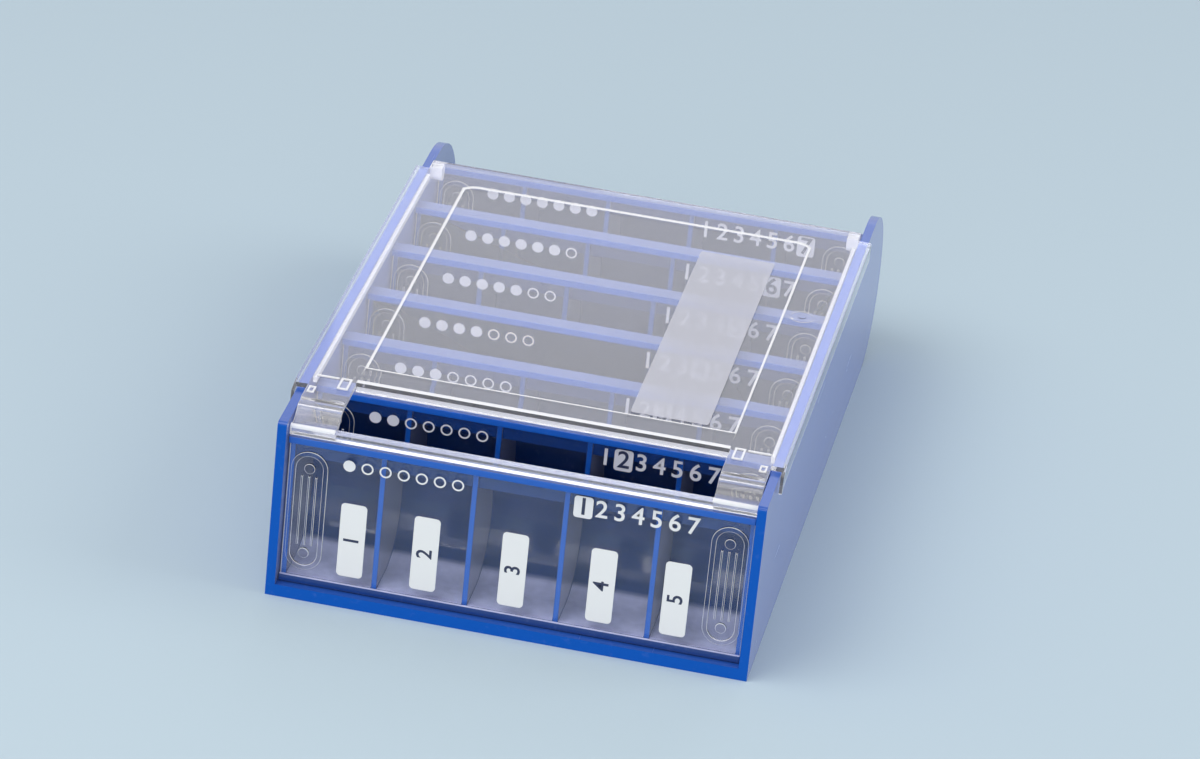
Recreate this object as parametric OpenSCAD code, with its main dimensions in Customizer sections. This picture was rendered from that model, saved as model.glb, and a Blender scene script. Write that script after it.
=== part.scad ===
// Weekly pill organizer: an open housing that holds seven upright day boxes
// in a row under a clear hinged cover. Every day box is a tray with five
// compartments and a clear lid that slides in grooves along the tray's front.
//
// Frame: +Z up, X across the front, the front face looks along -Y.
// The origin is the middle of the footprint, on the surface it stands on.

/* [Housing] */
// Width of the housing over its side walls
body_w = 115; // [110:1:130]
// Length of the housing from its front edges to its rounded back
body_l = 185; // [176:1:210]
// Height of the side walls
body_h = 45.5; // [44.5:0.5:54]
// Thickness of the side walls and of the back wall
wall_t = 2.2; // [1.6:0.1:3]
// Thickness of the floor at its rim
floor_t = 3; // [2.4:0.1:4]
// Radius of the side walls' top front corner
nose_r = 1; // [0.5:0.1:3]
// Radius of the side walls' top back corner
crown_r = 27; // [18:0.5:27.5]
// Radius of the heel where the floor turns up into the back wall
heel_r = 17; // [10:0.5:18]
// Height of the back wall between the side walls
back_h = 31; // [24:0.5:36]
// Depth of the recess under the floor
foot_recess = 0.9; // [0.4:0.1:1.2]
// Width of the rim that the housing stands on
foot_rim = 5; // [3:0.5:10]

/* [Day boxes] */
// Number of compartments in a day box
cells = 5; // [3:1:6]
// Room between the day boxes and the top of the side walls
headroom = 4.2; // [4:0.1:7]
// Distance of the row of day boxes from the housing's front
front_inset = 2; // [0.5:0.1:4]
// Room between the last day box and the back wall
row_back_gap = 0.5; // [0.3:0.1:2]
// Wall thickness of a day box
tray_wall = 1.2; // [0.8:0.1:1.6]
// Thickness of a day box's end walls
end_wall = 1.4; // [1:0.1:2]
// Thickness of the dividers between the compartments
divider_t = 1.3; // [0.8:0.1:2]
// Depth of the narrow band along the top of a day box
rim_d = 4.5; // [4.4:0.1:6]
// Height of the band's back, down to where the scoop starts
rim_back_h = 5; // [3:0.5:8]
// Height of the deepest line of the scoop above the tray's underside
scoop_z = 14.7; // [13:0.1:17]
// Thickness of the lips that hold the lid in front
lip_t = 0.9; // [0.6:0.1:1.2]
// Thickness of the tray above and below the lid's slot
slot_skin = 0.8; // [0.6:0.1:1.2]

/* [Lids] */
// Thickness of a lid
lid_t = 1.1; // [0.8:0.1:1.4]
// How far the lips reach over the lid's edges
lip_over = 0.8; // [0.4:0.1:1.2]
// Width of a finger grip
grip_w = 8.8; // [6:0.2:12]
// Height of a finger grip
grip_h = 31; // [20:1:31]
// Distance from the lid's end to the middle of its finger grip
grip_inset = 5.2; // [5:0.1:9]
// Width of the ring around a finger grip
grip_line = 1.2; // [0.6:0.1:2]
// Height of the raised grip lines over the lid
grip_rise = 0.5; // [0.2:0.1:0.6]
// Width of an upright rib in a finger grip
grip_rib_w = 0.5; // [0.4:0.1:0.8]
// Height of the ribs as a share of the finger grip's height
grip_rib_share = 0.58; // [0.3:0.02:0.6]
// Radius of the round buttons above and below the ribs
button_r = 1.3; // [0.8:0.1:1.8]
// Number of upright ribs in a finger grip
rib_count = 3; // [1:2:3]
// Distance from one rib to the next
rib_pitch = 1.7; // [1:0.1:1.9]

/* [Cover] */
// Thickness of the cover
cover_t = 1.2; // [0.9:0.1:1.6]
// Thickness of the skirts outside the side walls
skirt_t = 0.75; // [0.6:0.05:1.2]
// How far the skirts hang below the top of the side walls
skirt_drop = 3.2; // [1.5:0.1:6]
// Where the cover starts to overlap the side walls, behind the front
flange_front = 16.6; // [14:0.2:20]
// Distance of the cover's front edge from the housing's front
cover_inset = 2.4; // [1:0.1:4]
// Width of the window over the front of the row
window_w = 89; // [60:1:90]
// Depth of the window, front to back
window_d = 18; // [12:0.5:20]
// Height of the bar in front of the window
bar_h = 1.8; // [1.2:0.1:2.2]
// Depth of the bar in front of the window
bar_d = 2.4; // [1.6:0.1:4]
// How far the arms' front lips rise over the bar
lip_rise = 0.8; // [0.2:0.1:1]
// Radius of the arms' front lips
arm_lip_r = 0.9; // [0.6:0.1:1]
// Distance of the step on the arms from the cover's front edge
step_back = 9.6; // [8:0.2:11]
// Distance of the ridge between step and dish from the cover's front edge
ridge_back = 6.6; // [5:0.2:7]
// Width and height of the slope that steps down from the plate to the arms
arm_step = 0.5; // [0.3:0.1:0.8]
// Height of the beads and rings on top of the cover
bead_rise = 0.3; // [0.1:0.05:0.5]
// Depth of the thick edge behind the window
brow_d = 1.5; // [1:0.1:3]
// How far the thick edge behind the window hangs below the cover
brow_drop = 1; // [0.5:0.1:2]
// Thickness of the ribs that hang inside the side walls
rib_t = 0.9; // [0.6:0.1:1.4]
// How far the ribs hang below the cover
rib_drop = 1.6; // [0.8:0.1:2.4]
// How far the middle panel lies below the cover's margins
panel_step = 0.25; // [0.1:0.05:0.4]
// Width of the middle panel
panel_w = 90.8; // [60:0.2:94]
// Distance of the middle panel from the window
panel_front_gap = 5; // [3:0.5:8]
// Distance of the middle panel from the cover's back edge
panel_back_gap = 11; // [6:0.5:20]
// Radius of the middle panel's back corners
panel_r = 5; // [2:0.5:10]
// Length of the slope at each side of the middle panel's front edge
panel_ramp = 4; // [2:0.5:4.5]
// Radius of the round mark on the right margin
mark_r = 3.1; // [2:0.1:3.4]
// Width of the mark's ring
mark_line = 0.5; // [0.3:0.1:0.8]
// Distance of the mark from the housing's front
mark_front = 97.495; // [60:0.005:130]
// How far the mark stands inside the middle of the margin
mark_inset = 1.4; // [0:0.1:1.6]
// Distance of the hinge from the back of the housing
hinge_back = 36.5; // [33:0.5:45]
// How far the cover reaches behind its hinge
cover_behind = 1.3; // [0.8:0.1:1.8]
// Radius of the hinge pins
pin_r = 1; // [0.7:0.05:1.1]
// Width of the rounded ends that carry the hinge pins
knuckle_w = 3; // [2:0.1:5]
// Radius of the rounded ends that carry the hinge pins
knuckle_r = 2; // [1.6:0.1:2.1]

/* [Write-on field] */
// Distance of the write-on field from the right edge of the middle panel
field_right = 7.9; // [2:0.5:30]
// Distance of the write-on field from the window
field_front = 10.5; // [9:0.5:20]
// Distance of the write-on field from the back edge of the middle panel
field_back = 14.5; // [4:0.5:40]
// Width of the write-on field
field_w = 18.6; // [10:0.2:24]
// Thickness of the write-on film
field_t = 0.2; // [0.1:0.05:0.3]

/* [Fits] */
// Gap between a day box and the walls and floor beside it
run_gap = 0.25; // [0.15:0.05:0.4]
// Gap between one day box and the next
row_gap = 0.3; // [0.2:0.05:0.6]
// Gap around a lid in its grooves
lid_gap = 0.15; // [0.1:0.05:0.3]
// Gap between the closed cover and the top of the side walls
cover_gap = 0.15; // [0.1:0.05:0.3]
// Gap between the cover and the faces of the side walls
side_gap = 0.25; // [0.15:0.05:0.4]
// Gap between the row of day boxes and the cover's front bar
bar_gap = 0.4; // [0.2:0.1:0.6]
// Radial gap of the hinge pins in their holes
pin_gap = 0.08; // [0.05:0.01:0.15]

/* [Hidden] */
days = ["monday", "tuesday", "wednesday", "thursday", "friday", "saturday", "sunday"];
$fn = 64;
eps = 0.01;

blue = "#1450a8";
clear = "#dfe4ee66";
frosted = "#e6e6ee";

front = -body_l / 2;
back = body_l / 2;
inner_w = body_w - 2 * wall_t;
crown_z = body_h - crown_r;
over = 1; // how far a cut reaches past what it cuts

// The row of day boxes fills the housing from front to back.
pitch = (body_l - wall_t - row_back_gap - front_inset + row_gap) / len(days);
tray_d = pitch - row_gap;
tray_w = inner_w - 2 * run_gap;
tray_z = floor_t + run_gap;
tray_top = body_h - headroom;
tray_h = tray_top - tray_z;

// Outer scoop: an arc from the foot of the top band to the deepest line.
deep_z = min(scoop_z, crown_z - tray_z);
scoop_rise = tray_h - rim_back_h - deep_z;
scoop_run = tray_d - rim_d;
scoop_r = (scoop_run * scoop_run + scoop_rise * scoop_rise) / (2 * scoop_run);
scoop_y = tray_d - scoop_r;
housing_heel_r = min(heel_r, crown_z);
tray_heel_r = min(housing_heel_r - wall_t - row_back_gap, deep_z);

// The lid stands in a slot behind the lips.
slot_t = lid_t + 2 * lid_gap;
cell_front = lip_t + slot_t;
cell_pitch = (tray_w - 2 * end_wall + divider_t) / cells;
cell_w = cell_pitch - divider_t;
lip_h = slot_skin + lid_gap + lip_over;
lid_w = tray_w - 2 * lid_gap;
lid_h = tray_h - 2 * (slot_skin + lid_gap);

// The cover lies on the side walls and drops at its front to the bar.
cover_z = body_h + cover_gap;
cover_top = cover_z + cover_t;
cover_side_x = inner_w / 2 - side_gap;
skirt_in = body_w / 2 + side_gap;
hinge_y = back - hinge_back;
hinge_z = tray_top + run_gap + knuckle_r;
cover_back = hinge_y + cover_behind;
flange_back = hinge_y - knuckle_r - 1.4;
arm_x = window_w / 2;
cover_front = front + cover_inset;
window_front = cover_front + bar_d;
window_back = window_front + window_d;
bar_z = tray_top + bar_gap;
bar_top = bar_z + bar_h;
panel_front = window_back + panel_front_gap;
panel_back = cover_back - panel_back_gap;

// A profile in the Y-Z plane, drawn from x0 to x1.
module across(x0, x1) {
    translate([x0, 0, 0]) rotate([90, 0, 90]) linear_extrude(height = x1 - x0) children();
}

// What lies outside a round corner of radius r whose centre is at [0, 0].
module corner_waste(r, angle) {
    rotate([0, 0, angle]) difference() {
        square([r + over, r + over]);
        circle(r = r, $fn = 128);
    }
}

// Side view of the housing.
module housing_outline() {
    difference() {
        translate([front, 0]) square([body_l, body_h]);
        translate([front + nose_r, body_h - nose_r]) corner_waste(nose_r, 90);
        translate([back - crown_r, crown_z]) corner_waste(crown_r, 0);
        translate([back - housing_heel_r, housing_heel_r]) corner_waste(housing_heel_r, -90);
    }
}

// Side view of the housing's hollow, open in front and above.
module hollow_outline() {
    heel = housing_heel_r - wall_t;
    difference() {
        translate([front - over, floor_t])
            square([body_l - wall_t + over, body_h - floor_t + over]);
        translate([back - crown_r, crown_z]) corner_waste(crown_r - wall_t, 0);
        translate([back - wall_t - heel, floor_t + heel]) corner_waste(heel, -90);
    }
}

module housing() {
    color(blue) difference() {
        across(-body_w / 2, body_w / 2) housing_outline();
        across(-inner_w / 2, inner_w / 2) hollow_outline();
        // The low back between the side walls
        translate([-inner_w / 2, back - crown_r - over, back_h])
            cube([inner_w, crown_r + 2 * over, body_h]);
        // Recess that leaves a rim to stand on
        translate([-body_w / 2 + foot_rim, front + foot_rim, -eps])
            cube([body_w - 2 * foot_rim, body_l - heel_r - 2 * foot_rim, foot_recess + eps]);
        // Hinge holes in both side walls
        translate([-body_w / 2 - over, hinge_y, hinge_z]) rotate([0, 90, 0])
            cylinder(r = pin_r + pin_gap, h = body_w + 2 * over, $fn = 48);
    }
}

// Side view of a day box: upright front, narrow top band, round scoop behind.
module tray_outline() {
    difference() {
        square([tray_d, tray_h]);
        translate([rim_d, tray_h - rim_back_h]) square([tray_d, rim_back_h + over]);
        intersection() {
            translate([scoop_y, deep_z]) corner_waste(scoop_r, 0);
            translate([rim_d, deep_z]) square([tray_d, tray_h]);
        }
        translate([tray_d - tray_heel_r, tray_heel_r]) corner_waste(tray_heel_r, -90);
    }
}

// Side view of the room in a compartment.
module cell_outline() {
    w = tray_wall;
    difference() {
        translate([cell_front - eps, w])
            square([tray_d - w - cell_front + eps, tray_h - 2 * w]);
        translate([rim_d - w, tray_h - rim_back_h - w]) square([tray_d, rim_back_h + over]);
        intersection() {
            translate([scoop_y, deep_z]) corner_waste(scoop_r - w, 0);
            translate([rim_d - w, deep_z]) square([tray_d, tray_h]);
        }
        translate([tray_d - tray_heel_r, tray_heel_r]) corner_waste(tray_heel_r - w, -90);
    }
}

module place_day(i) {
    translate([0, front + front_inset + i * pitch, tray_z]) children();
}

module tray(i) {
    color(blue) place_day(i) difference() {
        across(-tray_w / 2, tray_w / 2) tray_outline();
        for (c = [0 : cells - 1]) {
            x0 = -tray_w / 2 + end_wall + c * cell_pitch;
            across(x0, x0 + cell_w) cell_outline();
        }
        // Slot for the lid, open at both ends, and the view between the lips
        translate([-tray_w / 2 - over, lip_t, slot_skin])
            cube([tray_w + 2 * over, slot_t, tray_h - 2 * slot_skin]);
        translate([-tray_w / 2 - over, -over, lip_h])
            cube([tray_w + 2 * over, lip_t + over + eps, tray_h - 2 * lip_h]);
    }
}

// An upright bar with round ends, standing proud of the lid's front.
module grip_shape(w, h) {
    translate([0, -h / 2 + w / 2]) circle(r = w / 2, $fn = 48);
    translate([0, h / 2 - w / 2]) circle(r = w / 2, $fn = 48);
    square([w, h - w], center = true);
}

// A finger grip: a ring, ribs and a round button above and below them.
module finger_grip() {
    rib_h = grip_h * grip_rib_share;
    rotate([90, 0, 0]) linear_extrude(height = grip_rise) {
        difference() {
            grip_shape(grip_w, grip_h);
            grip_shape(grip_w - 2 * grip_line, grip_h - 2 * grip_line);
        }
        for (k = [0 : rib_count - 1])
            translate([(k - (rib_count - 1) / 2) * rib_pitch, 0])
                square([grip_rib_w, rib_h], center = true);
        for (side = [-1, 1])
            translate([0, side * (grip_h - grip_w) / 2]) circle(r = button_r, $fn = 32);
    }
}

module lid(i) {
    lid_y = lip_t + lid_gap;
    color(clear) place_day(i) {
        translate([-lid_w / 2, lid_y, slot_skin + lid_gap]) cube([lid_w, lid_t, lid_h]);
        for (side = [-1, 1])
            translate([side * (lid_w / 2 - grip_inset), lid_y + eps, tray_h / 2]) finger_grip();
    }
}

// Side view of an arm beside the window: a plate that steps down to a dished
// front, which ends in a round lip over the bar.
module arm_outline() {
    step_y = cover_front + step_back;
    ridge_y = cover_front + ridge_back;
    ridge_z = cover_top - arm_step;
    drop = cover_z - bar_z;
    lip_back = 2 * arm_lip_r;
    // The dish is an arc from the ridge to the foot of the lip.
    dish_y = cover_front + arm_lip_r;
    run = ridge_back - arm_lip_r;
    rise = ridge_z - bar_top;
    dish_z = (run * run - arm_lip_r * arm_lip_r) / (2 * rise) + (ridge_z + bar_top) / 2;
    dish_r = sqrt(arm_lip_r * arm_lip_r + (dish_z - bar_top) * (dish_z - bar_top));
    difference() {
        polygon([
            [window_back + over, cover_top],
            [step_y, cover_top],
            [step_y - arm_step, ridge_z],
            [dish_y, ridge_z],
            [dish_y, bar_z],
            [cover_front + lip_back + 1, bar_z],
            [ridge_y - 1.8, bar_z + 0.4 * drop],
            [ridge_y + 0.6, bar_z + 0.86 * drop],
            [step_y - 0.8, cover_z],
            [window_back + over, cover_z]
        ]);
        translate([dish_y, dish_z]) circle(r = dish_r, $fn = 128);
    }
    translate([cover_front, bar_z]) square([lip_back, bar_h + lip_rise - arm_lip_r]);
    translate([dish_y, bar_top + lip_rise - arm_lip_r]) circle(r = arm_lip_r);
}

// Side view of a skirt, with its front end drawn out to a hanging point.
module skirt_outline() {
    start = front + flange_front;
    hang = body_h - skirt_drop;
    polygon([
        [start + 4, cover_top],
        [start, cover_z - 0.2],
        [start - 0.6, hang - 1],
        [start + 3.2, hang],
        [flange_back, hang],
        [flange_back, cover_top]
    ]);
}

// A raised frame around a rectangle, standing on the cover.
module raised_frame(x, y, w, d, line) {
    translate([x, y, cover_top - eps]) linear_extrude(height = bead_rise + eps) difference() {
        square([w, d]);
        translate([line, line]) square([w - 2 * line, d - 2 * line]);
    }
}

// What the cover has on each side: arm, overlap, skirt, rib, frames and hinge end.
module cover_side() {
    overlap_y = front + flange_front + 2;
    across(arm_x, cover_side_x) arm_outline();
    across(skirt_in, skirt_in + skirt_t) skirt_outline();
    translate([arm_x, overlap_y, cover_z])
        cube([skirt_in + skirt_t / 2 - arm_x, flange_back - overlap_y, cover_t]);
    translate([cover_side_x - rib_t, window_back + over, cover_z - rib_drop])
        cube([rib_t, flange_back - 4 - window_back, rib_drop + eps]);
    raised_frame(arm_x + 1.1, window_back - 4.3, 2.6, 5.5, 0.5);
    raised_frame(cover_side_x - 2.3, cover_front + step_back + 2.5, 1.7, 3, 0.4);
    translate([arm_x + 4.2, window_back + 0.5, cover_top - eps])
        cube([cover_side_x - rib_t - arm_x - 4.2, 0.5, bead_rise + eps]);
    // Rounded end of the hinge with its pin
    knuckle_x = cover_side_x - knuckle_w;
    pin_end_x = body_w / 2 - 0.2;
    translate([knuckle_x, hinge_y, hinge_z]) rotate([0, 90, 0])
        cylinder(r = knuckle_r, h = knuckle_w);
    translate([knuckle_x, hinge_y - knuckle_r, hinge_z])
        cube([knuckle_w, knuckle_r + cover_behind, cover_z - hinge_z + eps]);
    translate([knuckle_x, hinge_y, hinge_z]) rotate([0, 90, 0])
        cylinder(r = pin_r, h = pin_end_x - knuckle_x, $fn = 48);
}

// The sunken middle panel: it runs out in front and has round corners behind.
module panel_room() {
    corner_x = panel_w / 2 - panel_r;
    floor_z = cover_top - panel_step;
    across(-panel_w / 2, panel_w / 2) polygon([
        [panel_front - panel_ramp, cover_top + panel_step],
        [panel_front + panel_ramp, floor_z],
        [panel_back - panel_r, floor_z],
        [panel_back - panel_r, cover_top + over],
        [panel_front - panel_ramp, cover_top + over]
    ]);
    translate([-corner_x, panel_back - 2 * panel_r, floor_z])
        cube([2 * corner_x, 2 * panel_r, panel_step + over]);
    for (side = [-1, 1])
        translate([side * corner_x, panel_back - panel_r, floor_z])
            cylinder(r = panel_r, h = panel_step + over);
}

// Round raised mark on the right margin.
module mould_mark() {
    mark_x = (panel_w / 2 + cover_side_x) / 2 - mark_inset;
    translate([mark_x, front + mark_front, cover_top - eps])
        linear_extrude(height = bead_rise / 2 + eps) {
            difference() {
                circle(r = mark_r);
                circle(r = mark_r - mark_line);
            }
            circle(r = mark_r / 3);
        }
}

module cover() {
    color(clear) {
        difference() {
            translate([-cover_side_x, window_back, cover_z])
                cube([2 * cover_side_x, cover_back - window_back, cover_t]);
            panel_room();
        }
        // Thick edge behind the window
        translate([-arm_x, window_back, cover_z - brow_drop])
            cube([window_w, brow_d, brow_drop + cover_t + bead_rise]);
        // Bar in front of the window
        translate([-arm_x - over, cover_front, bar_z]) cube([window_w + 2 * over, bar_d, bar_h]);
        cover_side();
        mirror([1, 0, 0]) cover_side();
        mould_mark();
    }
}

module write_on_field() {
    y0 = window_back + field_front;
    color(frosted) translate([panel_w / 2 - field_right - field_w, y0, cover_top - panel_step])
        cube([field_w, panel_back - field_back - y0, field_t]);
}

housing();
cover();
write_on_field();
for (i = [0 : len(days) - 1])
    tray(i);
for (i = [0 : len(days) - 1])
    lid(i);
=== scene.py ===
import math

import bmesh
import bpy
from mathutils import Matrix, Vector


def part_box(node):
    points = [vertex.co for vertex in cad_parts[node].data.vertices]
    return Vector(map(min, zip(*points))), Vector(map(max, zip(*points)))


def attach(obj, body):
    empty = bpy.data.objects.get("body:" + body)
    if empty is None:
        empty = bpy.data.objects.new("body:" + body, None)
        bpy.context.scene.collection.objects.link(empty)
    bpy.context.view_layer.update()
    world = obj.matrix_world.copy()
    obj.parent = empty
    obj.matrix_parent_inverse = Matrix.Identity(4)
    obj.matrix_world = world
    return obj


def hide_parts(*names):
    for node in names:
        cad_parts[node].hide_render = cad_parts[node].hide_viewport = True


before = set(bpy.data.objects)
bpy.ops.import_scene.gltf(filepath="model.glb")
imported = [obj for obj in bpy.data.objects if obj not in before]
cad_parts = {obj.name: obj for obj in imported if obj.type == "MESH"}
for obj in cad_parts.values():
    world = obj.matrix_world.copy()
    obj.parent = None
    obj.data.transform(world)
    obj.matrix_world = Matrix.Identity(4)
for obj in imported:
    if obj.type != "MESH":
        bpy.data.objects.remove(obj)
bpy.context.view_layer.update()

mm = 0.001
quarter = math.radians(90)
days = ["monday", "tuesday", "wednesday", "thursday", "friday", "saturday", "sunday"]
print("frame loaded,", len(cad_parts), "nodes")


def addNode(tree, kind, at, **values):
    made = tree.nodes.new(kind)
    made.location = at
    for key, value in values.items():
        setattr(made, key, value)
    return made


def setInputs(node, values):
    for key, value in values.items():
        node.inputs[key].default_value = value


def addMath(tree, operation, at, *terms):
    # Each term is a socket to link or a plain number
    made = addNode(tree, "ShaderNodeMath", at, operation=operation)
    for slot, term in zip(made.inputs, terms):
        if isinstance(term, (int, float)):
            slot.default_value = term
        else:
            tree.links.new(term, slot)
    return made.outputs[0]


def newMaterial(name):
    material = bpy.data.materials.new(name)
    material.use_nodes = True
    tree = material.node_tree
    tree.nodes.clear()
    out = addNode(tree, "ShaderNodeOutputMaterial", (700, 0))
    shader = addNode(tree, "ShaderNodeBsdfPrincipled", (350, 0))
    tree.links.new(shader.outputs["BSDF"], out.inputs["Surface"])
    return material, tree, shader, out


def newGroup(name, inputs, outputs):
    tree = bpy.data.node_groups.new(name, "ShaderNodeTree")
    for label, kind, value in inputs:
        socket = tree.interface.new_socket(label, in_out="INPUT", socket_type=kind)
        socket.default_value = value
    for label, kind in outputs:
        tree.interface.new_socket(label, in_out="OUTPUT", socket_type=kind)
    gate = addNode(tree, "NodeGroupInput", (-900, 0))
    out = addNode(tree, "NodeGroupOutput", (700, 0))
    return tree, gate, out


# A noise is given as its scale and detail, and a span as where a mask starts and where it is full
skinLook = {
    "waveDetail": 2, "waveDepth": 0.4 * mm,
    "fine": (420, 3), "specks": (700, 5), "hair": (1900, 1),
    "hairStretch": (1, 0.03, 0.4), "hairTurn": 0.12,
    "dustSpan": (0.6, 0.78), "hairSpan": (0.68, 0.8),
    "flatSpan": (0.78, 0.9), "lowSpan": (6.9 * mm, 6.1 * mm), "patchScale": 0.5, "patchBase": 0.75,
}


def buildSkinGroup():
    # What every moulded plastic shows: slow waves, fine polish, hairline scratches, a little dust; with a
    # painted glare on low faces that look up
    inputs = [
        ("Color", "NodeSocketColor", (0.5, 0.5, 0.5, 1)),
        ("Dust And Glare Color", "NodeSocketColor", (0.8, 0.8, 0.82, 1)),
        ("Dust", "NodeSocketFloat", 0.05),
        ("Scratches", "NodeSocketFloat", 0.1),
        ("Painted Glare", "NodeSocketFloat", 0.0),
        ("Roughness", "NodeSocketFloat", 0.2),
        ("Spread", "NodeSocketFloat", 0.1),
        ("Wave Scale", "NodeSocketFloat", 40),
        ("Wave Height", "NodeSocketFloat", 0.1),
    ]
    outputs = [
        ("Color", "NodeSocketColor"),
        ("Roughness", "NodeSocketFloat"),
        ("Normal", "NodeSocketVector"),
    ]
    tree, gate, out = newGroup("mouldedSkin", inputs, outputs)
    link = tree.links.new
    place = addNode(tree, "ShaderNodeTexCoord", (-900, -300))

    def noise(at, scale, detail, vector):
        made = addNode(tree, "ShaderNodeTexNoise", at)
        made.inputs["Detail"].default_value = detail
        if isinstance(scale, (int, float)):
            made.inputs["Scale"].default_value = scale
        else:
            link(scale, made.inputs["Scale"])
        link(vector, made.inputs["Vector"])
        return made.outputs["Fac"]

    def mask(at, value, span):
        made = addNode(tree, "ShaderNodeMapRange", at)
        setInputs(made, {"From Min": span[0], "From Max": span[1]})
        link(value, made.inputs["Value"])
        return made.outputs["Result"]

    wave = noise((-550, 250), gate.outputs["Wave Scale"], skinLook["waveDetail"], place.outputs["Object"])
    fine = noise((-550, 0), *skinLook["fine"], place.outputs["Object"])
    specks = noise((-550, -250), *skinLook["specks"], place.outputs["Object"])
    # Hairlines run along the length, as the hand that slides a box leaves them
    drawn = addNode(tree, "ShaderNodeMapping", (-730, -500))
    setInputs(drawn, {"Scale": skinLook["hairStretch"], "Rotation": (0, 0, skinLook["hairTurn"])})
    link(place.outputs["Object"], drawn.inputs["Vector"])
    hair = noise((-550, -500), *skinLook["hair"], drawn.outputs["Vector"])
    specked = mask((-330, -250), specks, skinLook["dustSpan"])
    dust = addMath(tree, "MULTIPLY", (-100, -250), specked, gate.outputs["Dust"])
    scratched = mask((-330, -500), hair, skinLook["hairSpan"])
    lines = addMath(tree, "MULTIPLY", (-100, -500), scratched, gate.outputs["Scratches"])
    mixed = addMath(tree, "ADD", (-330, 150), wave, fine)
    centred = addMath(tree, "SUBTRACT", (-160, 150), mixed, 1)
    spread = addMath(tree, "MULTIPLY_ADD", (20, 150), centred, gate.outputs["Spread"],
                     gate.outputs["Roughness"])
    link(addMath(tree, "ADD", (200, 150), spread, lines), out.inputs["Roughness"])
    # Painted glare: a pale colour is painted where a low face looks up, stronger in patches
    sides = addNode(tree, "ShaderNodeSeparateXYZ", (-730, -750))
    link(place.outputs["Normal"], sides.inputs[0])
    rise = addNode(tree, "ShaderNodeSeparateXYZ", (-730, -900))
    link(place.outputs["Object"], rise.inputs[0])
    flat = mask((-330, -750), sides.outputs["Z"], skinLook["flatSpan"])
    low = mask((-330, -950), rise.outputs["Z"], skinLook["lowSpan"])
    glareZone = addMath(tree, "MULTIPLY", (-160, -750), flat, low)
    patchy = addMath(tree, "MULTIPLY_ADD", (-160, -950), fine, skinLook["patchScale"], skinLook["patchBase"])
    thick = addMath(tree, "MULTIPLY", (20, -950), glareZone, patchy)
    paintedGlare = addMath(tree, "MULTIPLY", (20, -750), thick, gate.outputs["Painted Glare"])
    dustAndGlare = addNode(tree, "ShaderNodeMix", (250, -200), data_type="RGBA")
    link(addMath(tree, "MAXIMUM", (100, -500), dust, paintedGlare), dustAndGlare.inputs["Factor"])
    link(gate.outputs["Color"], dustAndGlare.inputs["A"])
    link(gate.outputs["Dust And Glare Color"], dustAndGlare.inputs["B"])
    link(dustAndGlare.outputs["Result"], out.inputs["Color"])
    bump = addNode(tree, "ShaderNodeBump", (250, 350))
    bump.inputs["Distance"].default_value = skinLook["waveDepth"]
    link(gate.outputs["Wave Height"], bump.inputs["Strength"])
    link(wave, bump.inputs["Height"])
    link(bump.outputs["Normal"], out.inputs["Normal"])
    return tree


skinGroup = buildSkinGroup()


def useSkin(tree, shader, values):
    skin = addNode(tree, "ShaderNodeGroup", (-50, 0), node_tree=skinGroup)
    setInputs(skin, values)
    for key, target in (("Color", "Base Color"), ("Roughness", "Roughness"), ("Normal", "Normal")):
        tree.links.new(skin.outputs[key], shader.inputs[target])


def bluePlastic(name, color, roughness, sheen, paintedGlare=0.0, coat=0.2):
    # Plastic without a coat is satin and shines less
    material, tree, shader, _ = newMaterial(name)
    # The pale lavender serves for dust specks and for the painted glare on low faces that look up
    useSkin(tree, shader, {
        "Color": (*color, 1), "Dust And Glare Color": (0.62, 0.65, 0.92, 1), "Dust": 0.04, "Scratches": 0.1,
        "Painted Glare": paintedGlare, "Roughness": roughness, "Spread": 0.06, "Wave Scale": 30, "Wave Height": 0.1})
    setInputs(shader, {
        "IOR": 1.5, "Specular IOR Level": 0.5 if coat else 0.15,
        "Coat Weight": coat, "Coat Roughness": 0.06,
        "Sheen Weight": sheen, "Sheen Roughness": 0.4, "Sheen Tint": (0.9, 0.9, 1, 1)})
    return material


def clearPlastic(name, color, roughness, hazeAndHighlight):
    # Lamps shine through: their shadow rays meet a plain see-through surface
    material, tree, shader, out = newMaterial(name)
    useSkin(tree, shader, {
        "Color": (*color, 1), "Dust": 0.02, "Scratches": 0.02, "Roughness": roughness, "Spread": 0.002,
        "Wave Scale": 22, "Wave Height": 0.05})
    setInputs(shader, {"IOR": 1.5, "Transmission Weight": 1 - hazeAndHighlight})
    path = addNode(tree, "ShaderNodeLightPath", (350, 350))
    see = addNode(tree, "ShaderNodeBsdfTransparent", (350, 180))
    see.inputs["Color"].default_value = (0.92, 0.93, 0.95, 1)
    mix = addNode(tree, "ShaderNodeMixShader", (560, 0))
    tree.links.new(path.outputs["Is Shadow Ray"], mix.inputs["Fac"])
    tree.links.new(shader.outputs["BSDF"], mix.inputs[1])
    tree.links.new(see.outputs["BSDF"], mix.inputs[2])
    tree.links.new(mix.outputs["Shader"], out.inputs["Surface"])
    return material


def printedInk(name, color, roughness, alpha=1.0):
    material, tree, shader, _ = newMaterial(name)
    useSkin(tree, shader, {
        "Color": (*color, 1), "Dust": 0.03, "Scratches": 0.05, "Roughness": roughness, "Spread": 0.08,
        "Wave Scale": 60, "Wave Height": 0.05})
    shader.inputs["Alpha"].default_value = alpha
    return material


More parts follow.
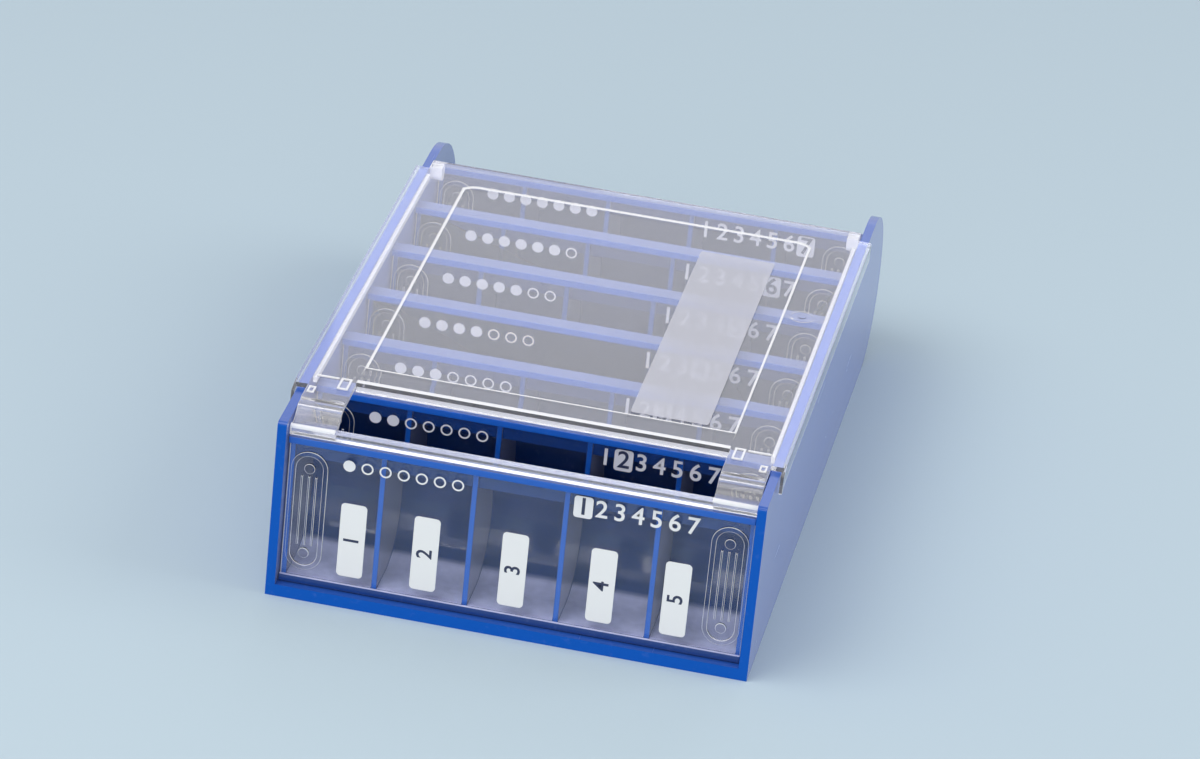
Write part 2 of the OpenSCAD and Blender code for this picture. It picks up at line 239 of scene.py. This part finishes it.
finish = {
    "shell": bluePlastic("blueShell", (0.003, 0.08, 0.42), 0.2, sheen=0.3),
    # Painted light: a brighter, bluer copy of the shell plastic for its front faces
    "shellFrontLit": bluePlastic("blueShellFrontLit", (0.001, 0.10, 0.5), 0.5, sheen=0.0, coat=0.0),
    # Painted shade: the tray plastic painted darker than its edges, with a painted glare on its low floors
    "box": bluePlastic("blueBox", (0.006, 0.045, 0.22), 0.12, sheen=0.3, paintedGlare=0.9),
    # Painted glow: a brighter copy of the tray plastic
    "boxEdgeGlow": bluePlastic("blueBoxEdgeGlow", (0.005, 0.11, 0.52), 0.3, sheen=0.1),
    # Painted glare: a greyer satin copy of the tray plastic
    "boxTopGlare": bluePlastic("blueBoxTopGlare", (0.03, 0.075, 0.27), 0.42, sheen=0.5),
    "cover": clearPlastic("clearCover", (0.94, 0.945, 0.975), 0.03, hazeAndHighlight=0.03),
    # Painted highlight: a whiter, hazier clear plastic for the cover's edges, beads and ribs
    "coverHighlight": clearPlastic("coverHighlight", (0.96, 0.955, 0.96), 0.25, hazeAndHighlight=0.8),
    "coverArm": clearPlastic("coverArm", (0.95, 0.945, 0.95), 0.05, hazeAndHighlight=0.1),
    "lid": clearPlastic("clearLid", (0.97, 0.975, 0.99), 0.02, hazeAndHighlight=0.0),
    # Painted highlight: a whiter, hazier clear plastic for the lids' rounded edges
    "lidEdge": clearPlastic("lidEdge", (0.94, 0.94, 0.97), 0.2, hazeAndHighlight=0.7),
    "film": printedInk("frostedFilm", (0.72, 0.72, 0.78), 0.45, alpha=0.49),
    "ink": printedInk("whiteInk", (0.88, 0.87, 0.87), 0.4),
    "pad": printedInk("labelPad", (0.91, 0.90, 0.88), 0.55),
    "mark": printedInk("darkInk", (0.03, 0.04, 0.09), 0.5),
}
print("materials made")


def newPiece(name, bm, materials, body, nodes=()):
    mesh = bpy.data.meshes.new(name)
    bm.to_mesh(mesh)
    bm.free()
    for material in materials:
        mesh.materials.append(material)
    piece = bpy.data.objects.new(name, mesh)
    bpy.context.scene.collection.objects.link(piece)
    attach(piece, body)
    if nodes:
        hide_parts(*nodes)
    return piece


rounding = {
    "angle": math.radians(28), "segments": 2, "flat": math.radians(0.6), "sharp": math.radians(50),
    "shortest": 0.9 * mm, "weld": 0.002 * mm, "faceWeight": 80,
}


def mergedCopy(node):
    bm = bmesh.new()
    bm.from_mesh(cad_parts[node].data)
    bmesh.ops.remove_doubles(bm, verts=bm.verts, dist=rounding["weld"])
    bmesh.ops.dissolve_limit(bm, angle_limit=rounding["flat"], verts=bm.verts, edges=bm.edges)
    return bm


def roundEdges(bm, width, keep, inner=False):
    # Sharp outer edges that keep() takes are rounded, and inner ones if asked.
    # The new faces take the second material.
    chosen = [e for e in bm.edges if len(e.link_faces) == 2 and (inner or e.is_convex)
              and e.calc_face_angle(0) > rounding["angle"] and keep(e)]
    made = bmesh.ops.bevel(bm, geom=chosen, offset=width, segments=rounding["segments"], profile=0.5,
                           affect="EDGES", clamp_overlap=True, material=-1)
    for face in made["faces"]:
        face.material_index = 1


def smoothFaces(bm):
    # Smooth over rounded edges, sharp where two faces still meet at a corner
    for face in bm.faces:
        face.smooth = True
    for edge in bm.edges:
        edge.smooth = len(edge.link_faces) == 2 and edge.calc_face_angle(0) < rounding["sharp"]


def anyEdge(edge):
    return True


def isLong(edge):
    return edge.calc_length() > rounding["shortest"]


def mould(bm, name, node, materials, body):
    smoothFaces(bm)
    piece = newPiece(name, bm, materials, body, [node])
    normals = piece.modifiers.new("normals", "WEIGHTED_NORMAL")
    normals.keep_sharp = True
    normals.weight = rounding["faceWeight"]


housingLook = {"edge": 0.35 * mm, "cutDepth": 0.1 * mm}


def buildHousing():
    bm = mergedCopy("housing")
    roundEdges(bm, housingLook["edge"], isLong)
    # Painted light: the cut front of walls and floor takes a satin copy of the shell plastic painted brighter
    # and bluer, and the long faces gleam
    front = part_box("housing")[0].y + housingLook["cutDepth"]
    for face in bm.faces:
        face.material_index = int(face.calc_center_median().y < front)
    materials = [finish["shell"], finish["shellFrontLit"]]
    mould(bm, "housingShell", "housing", materials, "housing")


coverLook = {
    "bead": 0.3 * mm, "step": 0.25 * mm, "slack": 0.02 * mm, "edge": 0.28 * mm, "stepEdge": 0.12 * mm,
    "mark": (48.8 * mm, 5 * mm), "markEye": 2 * mm, "line": 0.5 * mm, "arm": 21.5 * mm,
    "plateThick": 1.2 * mm, "insideWalls": 55.3 * mm, "lip": 0.7 * mm, "windowHalf": 44.5 * mm,
    "upright": 0.2, "level": 0.999, "sideways": 0.9,
}


def buildCover():
    # Painted highlight: raised beads, rounded edges, inner ribs and the step round the panel are painted
    # whiter than the plate
    bm = mergedCopy("cover")
    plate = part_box("cover")[1].z - coverLook["bead"]
    slack = coverLook["slack"]
    panel = plate - coverLook["step"]

    def heights(edge):
        return sorted(v.co.z for v in edge.verts)

    def onStep(edge):
        low, high = heights(edge)
        upright = [f for f in edge.link_faces if abs(f.normal.z) < coverLook["upright"]]
        outside = any(panel - slack < f.calc_center_median().z < plate for f in upright)
        return outside and low > panel - slack and high < plate + slack

    def offStep(edge):
        return isLong(edge) and heights(edge)[1] < plate + slack and not onStep(edge)

    def onPanel(face):
        level = face.normal.z > coverLook["level"]
        return level and abs(face.calc_center_median().z - panel) < slack

    roundEdges(bm, coverLook["stepEdge"], onStep, inner=True)
    roundEdges(bm, coverLook["edge"], offStep)
    # A painted highlight band runs along the panel, where its face rises into the step
    floor = [f for f in bm.faces if onPanel(f)]
    inset = bmesh.ops.inset_region(bm, faces=floor, thickness=coverLook["line"], use_even_offset=True)
    for face in inset["faces"]:
        face.material_index = 1
    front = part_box("cover")[0].y
    arms = front + coverLook["arm"]
    under = plate - coverLook["plateThick"] - slack
    for face in bm.faces:
        middle = face.calc_center_median()
        inMark = (middle.xy - Vector(coverLook["mark"])).length < coverLook["markEye"]
        raised = middle.z > plate + slack and not inMark
        upright = abs(face.normal.z) < coverLook["upright"] and panel + slack < middle.z < plate - slack
        inRib = middle.y > arms and abs(middle.x) < coverLook["insideWalls"] and middle.z < under
        onArmSide = middle.y < arms and abs(face.normal.x) > coverLook["sideways"]
        onLip = abs(middle.x) > coverLook["windowHalf"] and middle.y < front + coverLook["lip"]
        if raised or upright or inRib or onArmSide or onLip:
            face.material_index = 1
        elif middle.y < arms and face.material_index == 0:
            face.material_index = 2
    materials = [finish["cover"], finish["coverHighlight"], finish["coverArm"]]
    mould(bm, "hingedCover", "cover", materials, "cover")


boxLook = {
    "edge": 0.2 * mm, "lidEdge": 0.12 * mm, "frontDepth": 0.5 * mm, "foot": 3 * mm, "topDepth": 0.5 * mm,
    "forward": -0.8, "upward": 0.3,
}


def buildDayBox(day):
    body = day + "_box"
    box, lid = mergedCopy(day + "_tray"), mergedCopy(day + "_lid")
    roundEdges(box, boxLook["edge"], anyEdge, inner=True)
    # The lid's rounded edges take its second finish, a painted highlight
    roundEdges(lid, boxLook["lidEdge"], anyEdge)
    # Painted light: the fronts of top lip and dividers take a brighter copy of the tray plastic as a painted
    # glow, the inside and the bottom lip below the foot keep a darker copy as painted shade, and the band's
    # top is a satin copy painted greyer as a painted glare.
    low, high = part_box(day + "_tray")
    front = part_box(day + "_lid")[1].y + boxLook["frontDepth"]
    foot = low.z + boxLook["foot"]
    top = high.z - boxLook["topDepth"]
    for face in box.faces:
        middle = face.calc_center_median()
        if face.normal.y < boxLook["forward"] and middle.y < front and middle.z > foot:
            face.material_index = 1
        elif face.normal.z > boxLook["upward"] and middle.z > top:
            face.material_index = 2
        else:
            face.material_index = 0
    boxFinish = [finish["box"], finish["boxEdgeGlow"], finish["boxTopGlare"]]
    mould(box, day + "Box", day + "_tray", boxFinish, body)
    mould(lid, day + "Lid", day + "_lid", [finish["lid"], finish["lidEdge"]], body)


buildHousing()
buildCover()
print("housing and cover made")

for day in days:
    buildDayBox(day)
print("day boxes and lids made")


def plate(size, along, radius, segments):
    # A thin box whose four edges along one axis are rounded
    bm = bmesh.new()
    bmesh.ops.create_cube(bm, size=1)
    bmesh.ops.scale(bm, vec=size, verts=bm.verts)
    corners = [e for e in bm.edges if abs((e.verts[0].co - e.verts[1].co)[along]) > size[along] / 2]
    bmesh.ops.bevel(bm, geom=corners, offset=radius, segments=segments, profile=0.5, affect="EDGES",
                    material=-1)
    return bm


filmLook = {"lift": 0.03 * mm, "corner": 0.6 * mm, "segments": 4}


def buildFilm():
    # The film lies just clear of the panel under it
    low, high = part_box("write_on_field")
    low = low + Vector((0, 0, filmLook["lift"]))
    bm = plate(high - low, 2, filmLook["corner"], filmLook["segments"])
    bmesh.ops.translate(bm, vec=(low + high) / 2, verts=bm.verts)
    newPiece("writeOnField", bm, [finish["film"]], "cover", ["write_on_field"])


buildFilm()

marks = {
    "lidSheet": 1.1 * mm, "ink": 0.04 * mm,
    "rowX": 14.9 * mm, "rowStep": 4.3 * mm, "rowDrop": 4.4 * mm, "rowSize": 6.2 * mm,
    "tileWidth": 4.5 * mm, "tileHeight": 5.6 * mm, "tileRound": 0.8 * mm,
    "ringX": -40.5 * mm, "ringStep": 4.3 * mm, "ringDrop": 4.6 * mm, "ringRadius": 1.45 * mm,
    "ringLine": 0.4 * mm, "ringSteps": 40, "discSides": 32,
    "padX": [-38.5 * mm, -21 * mm, 0, 21 * mm, 38.5 * mm], "padWidth": 6.2 * mm, "padHeight": 19.2 * mm,
    "padFoot": 2.6 * mm, "padRound": 1.0 * mm, "padThick": 0.08 * mm, "padNumeral": 5.2 * mm,
    "cornerSegments": 6, "bold": 0.012, "curveSteps": 6, "weld": 0.001 * mm,
}


def glyph(text, size, turn=0.0):
    curve = bpy.data.curves.new("glyph", "FONT")
    curve.body = text
    curve.size = size
    curve.align_x = "CENTER"
    curve.align_y = "CENTER"
    curve.extrude = marks["ink"] / 2
    curve.offset = marks["bold"] * size
    curve.resolution_u = marks["curveSteps"]
    holder = bpy.data.objects.new("glyph", curve)
    bpy.context.scene.collection.objects.link(holder)
    bpy.context.view_layer.update()
    mesh = bpy.data.meshes.new_from_object(holder.evaluated_get(bpy.context.evaluated_depsgraph_get()))
    bm = bmesh.new()
    bm.from_mesh(mesh)
    bpy.data.objects.remove(holder)
    bpy.data.meshes.remove(mesh)
    stand = Matrix.Rotation(quarter, 4, "X") @ Matrix.Rotation(turn, 4, "Z")
    bmesh.ops.transform(bm, matrix=stand, verts=bm.verts)
    bmesh.ops.remove_doubles(bm, verts=bm.verts, dist=marks["weld"])
    return bm


def addTo(target, part, at):
    bmesh.ops.translate(part, vec=at, verts=part.verts)
    scratch = bpy.data.meshes.new("scratch")
    part.to_mesh(scratch)
    part.free()
    target.from_mesh(scratch)
    bpy.data.meshes.remove(scratch)


def disc(radius, thick):
    bm = bmesh.new()
    bmesh.ops.create_cone(bm, cap_ends=True, segments=marks["discSides"], radius1=radius, radius2=radius,
                          depth=thick)
    bmesh.ops.rotate(bm, matrix=Matrix.Rotation(quarter, 3, "X"), verts=bm.verts)
    return bm


def ring(radius, line, thick):
    # Four corners spun once round make a flat closed band
    bm = bmesh.new()
    inside, half = radius - line, thick / 2
    spots = [(radius, -half), (radius, half), (inside, half), (inside, -half)]
    corners = [bm.verts.new((r, y, 0)) for r, y in spots]
    sides = [bm.edges.new((corners[k - 1], corners[k])) for k in range(len(corners))]
    bmesh.ops.spin(bm, geom=corners + sides, cent=(0, 0, 0), axis=(0, 1, 0), angle=2 * math.pi,
                   steps=marks["ringSteps"], use_merge=True)
    bmesh.ops.recalc_face_normals(bm, faces=bm.faces)
    return bm


def pad(width, height, thick, radius):
    return plate((width, thick, height), 1, radius, marks["cornerSegments"])


def markLid(day, number):
    low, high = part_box(day + "_lid")
    face = high.y - marks["lidSheet"]
    body = day + "_box"
    ink, padThick = marks["ink"], marks["padThick"]
    week = range(1, len(days) + 1)

    def at(x, z, depth):
        return Vector((x, face - depth, z))

    # The week in numerals: the box's own day stands on a tile
    white, dark = bmesh.new(), bmesh.new()
    z = high.z - marks["rowDrop"]
    for k in week:
        x = marks["rowX"] + (k - 1) * marks["rowStep"]
        if k == number:
            tile = pad(marks["tileWidth"], marks["tileHeight"], ink, marks["tileRound"])
            addTo(white, tile, at(x, z, ink / 2))
            addTo(dark, glyph(str(k), marks["rowSize"]), at(x, z, ink + ink / 2))
        else:
            addTo(white, glyph(str(k), marks["rowSize"]), at(x, z, ink / 2))
    # The same week in rings, filled up to the box's own day
    for k in week:
        spot = at(marks["ringX"] + (k - 1) * marks["ringStep"], high.z - marks["ringDrop"], ink / 2)
        if k <= number:
            addTo(white, disc(marks["ringRadius"], ink), spot)
        else:
            addTo(white, ring(marks["ringRadius"], marks["ringLine"], ink), spot)
    newPiece(day + "Week", white, [finish["ink"]], body)
    # One numbered pad on each compartment
    pads = bmesh.new()
    z = low.z + marks["padFoot"] + marks["padHeight"] / 2
    for k, x in enumerate(marks["padX"], 1):
        label = pad(marks["padWidth"], marks["padHeight"], padThick, marks["padRound"])
        addTo(pads, label, at(x, z, padThick / 2))
        addTo(dark, glyph(str(k), marks["padNumeral"], quarter), at(x, z, padThick + ink / 2))
    newPiece(day + "Pads", pads, [finish["pad"]], body)
    newPiece(day + "Numerals", dark, [finish["mark"]], body)


for number, day in enumerate(days, 1):
    markLid(day, number)
print("marks made")

stage = {
    "floorSize": 6.0, "floorDrop": 0.02 * mm, "floorColor": (0.52, 0.63, 0.69),
    "fill": 0.55, "fillColor": (0.93, 0.95, 1), "shownColor": (0.93, 0.93, 1),
}


def buildFloor():
    bm = bmesh.new()
    bmesh.ops.create_grid(bm, x_segments=1, y_segments=1, size=stage["floorSize"] / 2)
    mesh = bpy.data.meshes.new("floor")
    bm.to_mesh(mesh)
    bm.free()
    floor = bpy.data.objects.new("floor", mesh)
    floor.location.z = -stage["floorDrop"]
    bpy.context.scene.collection.objects.link(floor)
    material, _, shader, _ = newMaterial("paleFloor")
    setInputs(shader, {"Base Color": (*stage["floorColor"], 1), "Roughness": 0.9, "Specular IOR Level": 0.1})
    mesh.materials.append(material)


def buildWorld():
    # Rough surfaces get a dim sky, and what is seen or mirrored of it is bright
    world = bpy.data.worlds.new("studio")
    bpy.context.scene.world = world
    world.use_nodes = True
    tree = world.node_tree
    tree.nodes.clear()
    out = addNode(tree, "ShaderNodeOutputWorld", (600, 0))
    soft = addNode(tree, "ShaderNodeBackground", (200, 100))
    setInputs(soft, {"Color": (*stage["fillColor"], 1), "Strength": stage["fill"]})
    shown = addNode(tree, "ShaderNodeBackground", (200, -100))
    shown.inputs["Color"].default_value = (*stage["shownColor"], 1)
    path = addNode(tree, "ShaderNodeLightPath", (-300, 300))
    seen = addMath(tree, "MAXIMUM", (-100, 300), path.outputs["Is Camera Ray"], path.outputs["Is Glossy Ray"])
    both = addMath(tree, "MAXIMUM", (60, 300), seen, path.outputs["Is Transmission Ray"])
    mix = addNode(tree, "ShaderNodeMixShader", (400, 0))
    tree.links.new(both, mix.inputs["Fac"])
    tree.links.new(soft.outputs[0], mix.inputs[1])
    tree.links.new(shown.outputs[0], mix.inputs[2])
    tree.links.new(mix.outputs[0], out.inputs["Surface"])


lampAim = Vector((0, 0, 0.02))
lamps = {
    "keySoftbox": {"size": 0.9, "power": 7, "at": (-0.5, -0.5, 1.1), "color": (1, 1, 1)},
    "frontSoftbox": {"size": 0.7, "power": 3, "at": (0.15, -1.2, 0.45), "color": (1, 1, 1)},
    "rightSoftbox": {"size": 0.7, "power": 3, "at": (0.9, 0.1, 0.7), "color": (1, 1, 1)},
    "backSoftbox": {"size": 0.9, "power": 1.7, "at": (0.1, 1.3, 0.8), "color": (0.82, 0.86, 1)},
}


def areaLight(name, size, power, at, color):
    lamp = bpy.data.lights.new(name, "AREA")
    lamp.size = size
    lamp.energy = power
    lamp.color = color
    holder = bpy.data.objects.new(name, lamp)
    holder.location = at
    holder.rotation_euler = (lampAim - Vector(at)).to_track_quat("-Z", "Y").to_euler()
    bpy.context.scene.collection.objects.link(holder)


view = {
    "azimuth": math.radians(8.7), "elevation": math.radians(27), "roll": math.radians(-6),
    "distance": 1.41, "aim": (0.001, 0.006, 0.020), "lens": 172, "sensor": 36, "farthest": 20,
}


def buildCamera():
    across, up = math.cos(view["elevation"]), math.sin(view["elevation"])
    back = Vector((math.sin(view["azimuth"]) * across, -math.cos(view["azimuth"]) * across, up))
    data = bpy.data.cameras.new("camera")
    data.sensor_width = view["sensor"]
    data.lens = view["lens"]
    data.clip_end = view["farthest"]
    camera = bpy.data.objects.new("camera", data)
    camera.location = Vector(view["aim"]) + back * view["distance"]
    turn = (-back).to_track_quat("-Z", "Y").to_matrix() @ Matrix.Rotation(-view["roll"], 3, "Z")
    camera.rotation_euler = turn.to_euler()
    bpy.context.scene.collection.objects.link(camera)
    bpy.context.scene.camera = camera


buildFloor()
buildWorld()
for name, values in lamps.items():
    areaLight(name, **values)
buildCamera()
bpy.context.scene.view_settings.view_transform = "Standard"
print("stage, lights and camera set")
